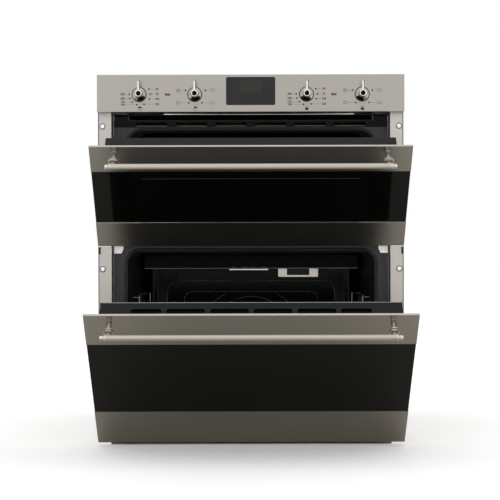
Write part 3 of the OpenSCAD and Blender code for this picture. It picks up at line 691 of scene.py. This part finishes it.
class Print:
    """Ink on a face that looks forward, drawn in millimetres from a centre."""

    def __init__(self, x, y, z):
        self.bm = bmesh.new()
        self.matrix = Matrix.Translation((x, y, z)) @ FACING_FRONT

    def outline(self, points):
        plate(self.bm, in_metres(points), INK_DEPTH, self.matrix)

    def bar(self, x0, z0, x1, z1, width=THIN_LINE):
        along = Vector((x1 - x0, z1 - z0)).normalized() * width / 2
        across = Vector((-along.y, along.x))
        a, b = Vector((x0, z0)), Vector((x1, z1))
        self.outline([a - across, b - across, b + across, a + across])

    def dot(self, x, z, radius):
        self.outline([(x + out, z + up) for out, up in (polar(radius, a) for a in circle(20))])

    def block(self, x, z, width, height):
        corner = min(width, height) * 0.15
        self.outline([(x + a, z + b) for a, b in round_rect(width, height, corner, 3)])

    def frame(self, x, z, width, height, line):
        out, up = width / 2, height / 2
        for side in (-1, 1):
            self.bar(x + side * out, z - up, x + side * out, z + up, line)
            self.bar(x - out, z + side * up, x + out, z + side * up, line)

    def ring(self, x, z, radius, start=0.0, turn=360.0, steps=28):
        points = [polar(radius, math.radians(start + turn * i / steps)) for i in range(steps + 1)]
        for (x0, z0), (x1, z1) in zip(points, points[1:]):
            self.bar(x + x0, z + z0, x + x1, z + z1)

    def digits(self, words, x, z, height):
        curve = bpy.data.curves.new("digits", "FONT")
        curve.body = words
        curve.size = height * FONT_SIZE
        curve.align_x = curve.align_y = "CENTER"
        curve.resolution_u = 4
        curve.offset = height * FONT_BOLD
        curve.extrude = INK_DEPTH / MM / 2
        writer = bpy.data.objects.new("digits", curve)
        mesh = bpy.data.meshes.new_from_object(writer)
        part = bmesh.new()
        part.from_mesh(mesh)
        bmesh.ops.remove_doubles(part, verts=part.verts, dist=1e-5)
        shift = Matrix.Translation((x * MM, z * MM, INK_DEPTH / 2)) @ Matrix.Scale(MM, 4)
        append(self.bm, part, self.matrix @ shift)
        bpy.data.objects.remove(writer)
        bpy.data.curves.remove(curve)
        bpy.data.meshes.remove(mesh)


def dial_mark(ink, x0, angle, side, has_heats):
    """A dot, and a thin line from it out to its label. Gives the label's height."""
    x, z = polar(DIAL_RADIUS, math.radians(angle))
    ink.dot(x0 + x, z, DOT_RADIUS)
    label_width = HEAT_WIDTH if has_heats else NUMBER_WIDTH
    start, end = x + side * LEADER_START, side * (LABEL_OUT - label_width / 2 - LEADER_GAP)
    if (end - start) * side > LEADER_LEAST:
        ink.bar(x0 + start, z, x0 + end, z, LEADER_WIDTH)
    return z


def oven_icon(ink, x, z, fill):
    """Outline of the double oven with one cavity filled in."""
    ink.frame(x, z, ICON_WIDTH, ICON_HEIGHT, ICON_LINE)
    ink.bar(x - SHELF_REACH, z + SHELF_UP, x + SHELF_REACH, z + SHELF_UP, ICON_LINE)
    up, width, height = fill
    ink.block(x, z + up, width, height)


def heat_symbol(ink, x, z, top, base, fan):
    """Cavity outline with the heat that is on: a bar above, a bar below, a fan between."""
    ink.frame(x, z, HEAT_WIDTH, HEAT_HEIGHT, HEAT_LINE)
    for is_on, bar_z in ((top, z + BAR_UP), (base, z - BAR_UP)):
        if is_on:
            ink.bar(x - BAR_REACH, bar_z, x + BAR_REACH, bar_z, BAR_LINE)
    if fan:
        for a in (0, math.pi / 3, 2 * math.pi / 3):
            out, up = polar(FAN_REACH, a)
            ink.bar(x - out, z - up, x + out, z + up, FAN_LINE)


def print_panel():
    """Dial marks, their numbers and symbols, and an oven icon under each knob."""
    ink = Print(0, PANEL_FACE, KNOB_Z)
    for joint, shift in zip(KNOB_JOINTS, INK_SHIFT):
        x0 = JOINTS[joint]["pos_m"][0] / MM + shift
        has_heats = "function" in joint
        for angle, label in FUNCTIONS if has_heats else TEMPERATURES:
            side = 1 if abs(angle) < 90 else -1
            x, z = x0 + side * LABEL_OUT, dial_mark(ink, x0, angle, side, has_heats)
            if has_heats:
                heat_symbol(ink, x, z, *label)
            else:
                ink.digits(label, x, z, DIGIT_HEIGHT)
        oven_icon(ink, x0, -ICON_DOWN, UPPER_FILL if "upper" in joint else LOWER_FILL)
    add("panel_markings", ink.bm, "ink")


def print_display():
    """Clock field and the row of touch marks, seen unlit behind the dark glass."""
    low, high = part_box("display_window")
    middle = (low + high) / 2
    field, marks = Print(middle.x, low.y, middle.z), Print(middle.x, low.y, middle.z)
    field.outline([(x, z + FIELD_UP) for x, z in round_rect(FIELD_WIDTH, FIELD_HEIGHT, FIELD_CORNER, 3)])
    add("display_field", field.bm, "lcd")
    row = -MARK_DOWN
    for x, rise in ((-ARROW_OUT, ARROW_RISE), (ARROW_OUT, -ARROW_RISE)):
        marks.bar(x - MARK_REACH, row - rise, x, row + rise, MARK_LINE)
        marks.bar(x, row + rise, x + MARK_REACH, row - rise, MARK_LINE)
    marks.ring(0, row, MARK_RING)
    marks.bar(0, row, 0, row + MINUTE_HAND)
    marks.bar(0, row, HOUR_HAND, row)
    marks.ring(-END_OUT, row, MARK_RING, RING_OPENS, RING_TURN)
    marks.bar(END_OUT - MARK_REACH, row, END_OUT + MARK_REACH, row, MARK_LINE)
    marks.bar(END_OUT, row - MARK_REACH, END_OUT, row + MARK_REACH, MARK_LINE)
    add("display_marks", marks.bm, "pale_ink")


print_panel()
print_display()


# ---- seals and cavity details

GASKET_WIDTH, GASKET_FOOT, BULB_INSET = mm(7, 1.6, 0.9)
# Radius of each seal's corners along its middle, and of each black lip's corners at the cavity's mouth
GASKET_RADIUS = {"upper_gasket": 34 * MM, "lower_gasket": 28 * MM}
MOUTH_RADIUS = {"upper_cavity": 36 * MM, "lower_cavity": 24 * MM}
MOUTH_INSET, MOUTH_THICKNESS = mm(2.0, 0.5)
CORNER_STEPS = 14
HALF_TURN = [math.pi * step / 8 for step in range(9)]


def make_gasket(node):
    """Rubber seal: a soft bulb on a flat foot, swept round the cavity's mouth."""
    low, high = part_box(node)
    size, centre = high - low, (low + high) / 2
    half = GASKET_WIDTH / 2
    bulb_half, bulb, shoulder = half - BULB_INSET, size.y - GASKET_FOOT, GASKET_FOOT * 0.7
    section = [(-half, 0), (half, 0), (half, shoulder), (bulb_half, GASKET_FOOT)]
    section += [(bulb_half * math.cos(a), GASKET_FOOT + bulb * math.sin(a)) for a in HALF_TURN[1:-1]]
    section += [(-bulb_half, GASKET_FOOT), (-half, shoulder)]
    radius = GASKET_RADIUS[node]
    outline = round_rect(size.x - GASKET_WIDTH, size.z - GASKET_WIDTH, radius, CORNER_STEPS)
    inner = round_rect(size.x - 2 * GASKET_WIDTH, size.z - 2 * GASKET_WIDTH, radius - half, CORNER_STEPS)
    rings = []
    for (x, z), (inner_x, inner_z) in zip(outline, inner):
        out = Vector((x - inner_x, 0, z - inner_z)).normalized()
        middle = Vector((centre.x + x, high.y, centre.z + z))
        rings.append([middle + out * a - Vector((0, b, 0)) for a, b in section])
    bm = bmesh.new()
    skin(bm, rings, closed=True)
    add(node + "_finish", bm, "black_rubber", replaces=[node], smooth_angle=SEAL_SMOOTH_ANGLE)


def make_mouth_ring(gasket, cavity):
    """Black lip between the seal and the mouth of the cavity."""
    low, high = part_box(gasket)
    mouth_low, mouth_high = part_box(cavity)
    outline = round_rect(high.x - low.x - 2 * GASKET_WIDTH, high.z - low.z - 2 * GASKET_WIDTH,
                         GASKET_RADIUS[gasket] - GASKET_WIDTH / 2, CORNER_STEPS)
    mouth = round_rect(mouth_high.x - mouth_low.x - 2 * MOUTH_INSET,
                       mouth_high.z - mouth_low.z - 2 * MOUTH_INSET, MOUTH_RADIUS[cavity], CORNER_STEPS)
    seal_z, mouth_z = (low.z + high.z) / 2, (mouth_low.z + mouth_high.z) / 2
    front, back = high.y - MOUTH_THICKNESS, high.y
    rings = [[Vector((x, front, seal_z + z)), Vector((x, back, seal_z + z)),
              Vector((in_x, back, mouth_z + in_z)), Vector((in_x, front, mouth_z + in_z))]
             for (x, z), (in_x, in_z) in zip(outline, mouth)]
    bm = bmesh.new()
    skin(bm, rings, closed=True)
    add(cavity + "_mouth", bm, "skirt_enamel")


def make_lamp_frame(name, material, is_upper):
    """One oven's lamp frame, cut from the CAD node that holds both."""
    low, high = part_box("lamp_frames")
    between_ovens = (low.z + high.z) / 2
    bm = whole_faces("lamp_frames")
    others = [vert for vert in bm.verts if (vert.co.z > between_ovens) != is_upper]
    bmesh.ops.delete(bm, geom=others, context="VERTS")
    soften(bm, 0.3 * MM, segments=1)
    add(name, bm, material, replaces=("lamp_frames",))


# The clip's faces are measured from the front skirt's lower front edge
CLIP_LEFT, CLIP_RIGHT = mm(-43, 34)
CLIP_OUT, CLIP_BACK, CLIP_DOWN, CLIP_GAP = mm(3, 6, 4.5, 1.2)
CLIP_SHEET, CLIP_ROUND = mm(1.2, 0.5)
HEM_BACK, HEM_RADIUS = mm(0.2, 0.9)
# Places of the spring's coils along the clip, and one coil's arch
COIL_SHARES = (0.12, 0.4, 0.62, 0.88)
COIL_REACH, COIL_RISE, COIL_OUT, COIL_DOWN, COIL_RADIUS = mm(8, 4, 2, 1.5, 0.8)


def make_grill_clip():
    """Clip that holds the grill element, its coils, and the skirt's rolled hem above them. The hem is a lighter
    grey than the black skirt: a painted highlight along its lower edge.
    """
    low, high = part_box("grill_reflector")
    hem, clip, coils = blank(3)
    tube(hem, [(x, low.y + HEM_BACK, low.z) for x in (low.x, high.x)], HEM_RADIUS)
    add("grill_reflector_hem", hem, "motor_metal")
    front, bottom = low.y - CLIP_OUT, low.z - CLIP_DOWN
    for back, top in ((front + CLIP_SHEET, low.z - CLIP_GAP), (low.y + CLIP_BACK, bottom + CLIP_SHEET)):
        slab(clip, (CLIP_LEFT, front, bottom), (CLIP_RIGHT, back, top), CLIP_ROUND)
    add("grill_clip", clip, "fitting_steel")
    for share in COIL_SHARES:
        x = CLIP_LEFT + (CLIP_RIGHT - CLIP_LEFT) * share
        y, z = low.y - COIL_OUT, low.z - COIL_DOWN
        tube(coils, [(x + COIL_REACH * math.cos(a), y, z + COIL_RISE * math.sin(a)) for a in HALF_TURN],
             COIL_RADIUS)
    add("grill_springs", coils, "element_sheath")


BEAD, EDGE_BEAD = mm(0.6, 0.7)
COVER_STEP, COVER_EDGE, COVER_CORNER = mm(3, 1, 25)
FACE_WIDTH, FACE_HEIGHT, FACE_Z, FACE_CORNER = mm(296, 211, 181.5, 18)
RING_RADIUS = 96 * MM
ARC_RADIUS, ARC_REACH = 117 * MM, math.radians(61)
# Where the beads up the cavity's back corners stand, from its sides, back, floor and roof
CORNER_IN, CORNER_FRONT, CORNER_UP, CORNER_DOWN = mm(25, 2, 30, 50)
PLATE_IN, PLATE_OUT, PLATE_RISE = mm(165, 212, 11)
PLATE_SHEET, PLATE_ROUND = mm(0.8, 0.3)


def bead_loop(bm, points, y, radius):
    """A thin rod round a closed outline of (x, z) points."""
    rings = []
    for index, (x, z) in enumerate(points):
        before, after = Vector(points[index - 1]), Vector(points[(index + 1) % len(points)])
        along = (after - before).normalized()
        out = Vector((along.y, 0, -along.x))
        rings.append([Vector((x, y, z)) + out * radius * math.cos(a) + Vector((0, radius * math.sin(a), 0))
                      for a in circle(8)])
    skin(bm, rings, closed=True)


def make_beads():
    """Thin rods on the edges of the fan cover's steps and up the cavity's back corners, in light grey: painted
    highlights along real edges.
    """
    low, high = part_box("fan_cover")
    cavity_low, cavity_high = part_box("lower_cavity")
    fan_z = JOINTS["convection_fan_spin"]["pos_m"][2]
    step_y = low.y + COVER_STEP
    bm = bmesh.new()
    middle_x, middle_z = (low.x + high.x) / 2, (low.z + high.z) / 2
    edge = round_rect(high.x - low.x - 2 * COVER_EDGE, high.z - low.z - 2 * COVER_EDGE, COVER_CORNER, 10)
    bead_loop(bm, [(middle_x + x, middle_z + z) for x, z in edge], step_y, EDGE_BEAD)
    face = round_rect(FACE_WIDTH, FACE_HEIGHT, FACE_CORNER, 10)
    bead_loop(bm, [(x, FACE_Z + z) for x, z in face], low.y, BEAD)
    ring = [polar(RING_RADIUS, a) for a in circle(96)]
    bead_loop(bm, [(x, fan_z + z) for x, z in ring], step_y, BEAD)
    arc = [polar(ARC_RADIUS, ARC_REACH * (step / 20 - 1)) for step in range(41)]
    for side in (-1, 1):
        tube(bm, [(side * x, step_y, fan_z + z) for x, z in arc], BEAD, 8)
    for side in (-1, 1):
        x, y = side * (cavity_high.x - CORNER_IN), cavity_high.y - CORNER_FRONT
        tube(bm, [(x, y, cavity_low.z + CORNER_UP), (x, y, cavity_high.z - CORNER_DOWN)], EDGE_BEAD, 8)
    add("cavity_beads", bm, "bead_enamel")


def make_back_corners():
    """Plates at both sides of the fan cover, a little lighter than the enamel round them."""
    low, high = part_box("fan_cover")
    bm = bmesh.new()
    for side in (-1, 1):
        near, far = sorted((side * PLATE_IN, side * PLATE_OUT))
        slab(bm, (near, high.y - PLATE_SHEET, low.z), (far, high.y, high.z + PLATE_RISE),
             PLATE_ROUND)
    add("cavity_back_corners", bm, "motor_metal")


LIP_MIDDLE_X, LIP_HALF = mm(16, 187)
# The lip hangs below the duct's top, sags towards its middle, and is highest at its ends
LIP_DROP, LIP_SAG, LIP_DEPTH = mm(0.9, 0.6, 0.6)
LIP_TALL, LIP_TALLER = 0.22, 0.4
LIP_LEAN = 0.21
RIM_IN, RIM_BACK, RIM_UP, RIM_RADIUS = mm(0.6, 1, 0.5, 0.4)


def make_duct_lip():
    """Bright leaning strip along the air outlet's upper lip, and light grey rods on the outlet's side edges:
    painted highlights.
    """
    low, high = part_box("air_duct")
    strip, sides = blank(2)
    rings = []
    for step in range(25):
        t = step / 12 - 1
        z, tall = high.z - LIP_DROP - LIP_SAG * (1 - t * t), (LIP_TALL + LIP_TALLER * t ** 4) * MM
        corners = ((LIP_LEAN * tall - LIP_DEPTH, -tall), (-LIP_DEPTH, tall), (0, tall), (0, -tall))
        rings.append([Vector((LIP_MIDDLE_X + LIP_HALF * t, low.y + a, z + b)) for a, b in corners])
    skin(strip, rings)
    add("air_duct_lip", strip, "chrome_trim")
    for side in (-1, 1):
        x, y = side * (high.x - RIM_IN), low.y + RIM_BACK
        tube(sides, [(x, y, low.z + RIM_UP), (x, y, high.z)], RIM_RADIUS)
    add("air_duct_side_edges", sides, "bead_enamel")


for seal_name, cavity_name in (("upper_gasket", "upper_cavity"), ("lower_gasket", "lower_cavity")):
    make_gasket(seal_name)
    make_mouth_ring(seal_name, cavity_name)
# The upper lamp frame is black enamel where the lower one is bright trim: painted shade
make_lamp_frame("upper_lamp_frame", "skirt_enamel", True)
make_lamp_frame("lower_lamp_frame", "lamp_trim", False)
make_grill_clip()
make_beads()
make_back_corners()
make_duct_lip()


# ---- flanges

# Half sections in millimetres: radius, and how far out from the flange's face
BUSH_RING = ((4.5, -1.2), (5.9, -1.2), (5.9, 0), (5.7, 0.3), (5.5, 0.8), (5.1, 0.9), (4.6, 0.8), (4.5, 0.4))
BUSH_SLEEVE = ((2.6, -1.1), (4.4, -1.1), (4.4, 0.4), (4.2, 0.6), (2.8, 0.6), (2.6, 0.4))
BUSH_WASHER = ((5.8, 0.01), (6.9, 0.01), (6.9, 0.3), (6.6, 0.5), (5.8, 0.5))
BUSH_RADIUS = 7 * MM
STRIP_IN, STRIP_HALF, STRIP_OUT, STRIP_ROUND = mm(0.9, 0.8, 0.6, 0.2)
CLIP_BELOW, CLIP_ABOVE = mm(1, 20)


def make_bushes():
    """In each fixing hole a rubber grommet round a bright sleeve, and a washer round both."""
    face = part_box("mounting_flanges")[0].y
    low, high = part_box("fixing_bushes")
    grommets, washers, sleeves = blank(3)
    for side in (-1, 1):
        for z in (low.z + BUSH_RADIUS, high.z - BUSH_RADIUS):
            matrix = aimed((side * (high.x - BUSH_RADIUS), face, z), (0, -1, 0))
            for bm, profile in ((grommets, BUSH_RING), (washers, BUSH_WASHER), (sleeves, BUSH_SLEEVE)):
                lathe(bm, in_metres(profile), matrix, closed=True)
    add("fixing_grommets", grommets, "black_rubber", replaces=["fixing_bushes"])
    add("fixing_washers", washers, "flange_steel")
    add("fixing_sleeves", sleeves, "bright_zinc")


def make_flange_edges():
    """Dark strip along each flange's outer edge, above and below the notch: painted shade on the bent edge."""
    low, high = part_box("mounting_flanges")
    clip_low, clip_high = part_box("side_clips")
    bm = bmesh.new()
    for side in (-1, 1):
        x = side * (high.x - STRIP_IN)
        for z0, z1 in ((low.z, clip_low.z - CLIP_BELOW), (clip_high.z + CLIP_ABOVE, high.z)):
            slab(bm, (x - STRIP_HALF, low.y - STRIP_OUT, z0), (x + STRIP_HALF, low.y, z1), STRIP_ROUND)
    add("flange_edge_strips", bm, "black_rubber")


make_bushes()
make_flange_edges()


# ---- door edges

def door_strip(name, door, low, high, bevel, material):
    """A block on a door, between two corners that are given with the door closed."""
    bm = bmesh.new()
    slab(bm, low, high, bevel, opened(door))
    add(name, bm, material, door)


def make_glass_bead(height=1.0 * MM, depth=0.6 * MM):
    """Bright bead along the joint between the upper door's glass and its lower steel strip."""
    low, high = closed_box("upper_door_glass")
    face = closed_box("upper_door_strips")[0].y
    door_strip("upper_door_bead", "upper_door", (low.x, face, low.z), (high.x, face + depth, low.z + height),
               0.3 * MM, "chrome_trim")


def make_trim_highlight(end=2 * MM, front=1.2 * MM, back=0.2 * MM, drop=0.3 * MM, rise=0.1 * MM):
    """Lighter strip along the back of the lower door's cap: a painted highlight."""
    low, high = closed_box("lower_door_trim")
    door_strip("lower_trim_edge", "lower_door", (low.x + end, high.y - front, high.z - drop),
               (high.x - end, high.y - back, high.z + rise), 0.15 * MM, "bead_enamel")


def make_slot_shade(end=12 * MM, edge=2.5 * MM, bottom=4.5 * MM, top=3.5 * MM):
    """Dark sheet under the air slots of the lower door's cap: painted shade seen through the slots."""
    low, high = closed_box("lower_door_trim")
    door_strip("lower_trim_baffle", "lower_door", (low.x + end, low.y + edge, high.z - bottom),
               (high.x - end, high.y - edge, high.z - top), 0.2 * MM, "skirt_enamel")


def make_glass_line(half=205 * MM, drop=18 * MM, height=0.7 * MM, depth=0.05 * MM):
    """Faint line in the upper door's glass where the inner pane's frame shows through."""
    low, high = closed_box("upper_door_glass")
    z = high.z - drop
    door_strip("upper_glass_line", "upper_door", (-half, low.y - depth, z), (half, low.y, z + height),
               0.0, "pale_ink")


make_glass_bead()
make_trim_highlight()
make_slot_shade()
make_glass_line()


# ---- screws

SCREW_EDGE = 9 * MM
SIDE_REAR_Z, SIDE_FRONT_Z = (0.04, 0.2, 0.36, 0.52, 0.68), (0.06, 0.24, 0.46, 0.6)
SIDE_REAR_IN, SIDE_FRONT_IN, SIDE_BULGE = mm(8, 16, 1.2)
REAR_Z = (0.02, 0.18, 0.34, 0.5, 0.64, 0.688)
TOP_Y = (0.04, 0.2, 0.36, 0.53)
ROW_X = (-0.16, 0, 0.16)


def side_screws():
    low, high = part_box("side_panels")
    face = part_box("rear_panel")[1].x + SIDE_BULGE
    places = [(high.y - SIDE_REAR_IN, z) for z in SIDE_REAR_Z]
    places += [(low.y + SIDE_FRONT_IN, z) for z in SIDE_FRONT_Z]
    for side, name in ((-1, "left"), (1, "right")):
        screws(name + "_side_screws", [(side * face, y, z) for y, z in places], (side, 0, 0))


def rear_screws():
    low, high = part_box("rear_panel")
    places = [(side * (high.x - SCREW_EDGE), high.y, z) for side in (-1, 1) for z in REAR_Z]
    places += [(x, high.y, z) for x in ROW_X for z in (low.z + SCREW_EDGE, high.z - SCREW_EDGE)]
    screws("rear_screws", places, (0, 1, 0))


def top_screws():
    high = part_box("top_cover")[1]
    places = [(side * (high.x - SCREW_EDGE), y, high.z) for side in (-1, 1) for y in TOP_Y]
    places += [(x, high.y - SCREW_EDGE, high.z) for x in ROW_X]
    screws("top_screws", places, (0, 0, 1))


side_screws()
rear_screws()
top_screws()


# ---- stage, camera and lights

CAMERA_PLACE = (-0.002, -2.922, 0.3793)
CAMERA_LENS, SENSOR_WIDTH = 107.57, 36.0
CAMERA_ROLL = math.radians(0.14)
WHITE = (1.0, 1.0, 1.0, 1.0)
FLOOR_COLOR, FLOOR_GLOW, FLOOR_REACH = (0.96, 0.96, 0.96), 0.14, 15
# The card lies on the floor and stands for the dark room in front of the oven
CARD_COLOR, CARD_HEIGHT, CARD_LOW, CARD_HIGH = (0.45, 0.43, 0.39), 0.5 * MM, (-1.2, -2.2), (1.2, 0.7)
# Each light's place, what it is aimed at, its size in metres and its power in watts
LIGHTS = {"key": ((-1.6, -2.6, 2.6), (0, 0, 0.5), (1.6, 1.2), 8),
          "fill": ((1.8, -2.8, 1.6), (0, 0, 0.4), (1.4, 1.4), 4),
          "top": ((0, -0.4, 3.0), (0, -0.1, 0.4), (2.0, 1.4), 2)}


def make_camera():
    """Straight ahead, from where the photo was taken."""
    data = bpy.data.cameras.new("camera")
    data.sensor_width = SENSOR_WIDTH
    data.lens = CAMERA_LENS
    camera = in_scene("camera", data)
    camera.location = CAMERA_PLACE
    camera.rotation_euler = (math.pi / 2, CAMERA_ROLL, 0)
    bpy.context.scene.camera = camera


def area_light(name, place, aim, size, power):
    data = bpy.data.lights.new(name, "AREA")
    data.shape = "RECTANGLE"
    data.size, data.size_y = size
    data.energy = power
    light = in_scene(name, data)
    light.location = place
    light.rotation_euler = (Vector(aim) - Vector(place)).to_track_quat("-Z", "Y").to_euler()


def sheet(name, low, high, height, color, glow=0.0):
    """A level sheet of paper that belongs to the studio."""
    mesh = bpy.data.meshes.new(name)
    (x0, y0), (x1, y1) = low, high
    corners = [(x, y, height) for x, y in ((x0, y0), (x1, y0), (x1, y1), (x0, y1))]
    mesh.from_pydata(corners, [], [(0, 1, 2, 3)])
    obj = in_scene(name, mesh)
    paper = Shader(name, color, roughness=0.9, Emission_Strength=glow)
    paper.set("Emission Color", WHITE)
    paper.vary_color(paper.noise(paper.place(), scale=3.0), 0.98, 1.02)
    mesh.materials.append(paper.material)
    return obj


def make_stage():
    """Pale floor, a darker card on it that only reflections see, and an even white surround."""
    sheet("floor", (-FLOOR_REACH, -FLOOR_REACH), (FLOOR_REACH, FLOOR_REACH), 0.0, FLOOR_COLOR, FLOOR_GLOW)
    card = sheet("floor_card", CARD_LOW, CARD_HIGH, CARD_HEIGHT, CARD_COLOR)
    for ray in ("camera", "diffuse", "shadow", "transmission"):
        setattr(card, "visible_" + ray, False)
    world = bpy.data.worlds.new("studio")
    world.use_nodes = True
    background = world.node_tree.nodes["Background"].inputs
    background["Color"].default_value = WHITE
    background["Strength"].default_value = 1.0
    bpy.context.scene.world = world
    bpy.context.scene.view_settings.view_transform = "Standard"


make_camera()
make_stage()
for light_name, settings in LIGHTS.items():
    area_light(light_name, *settings)
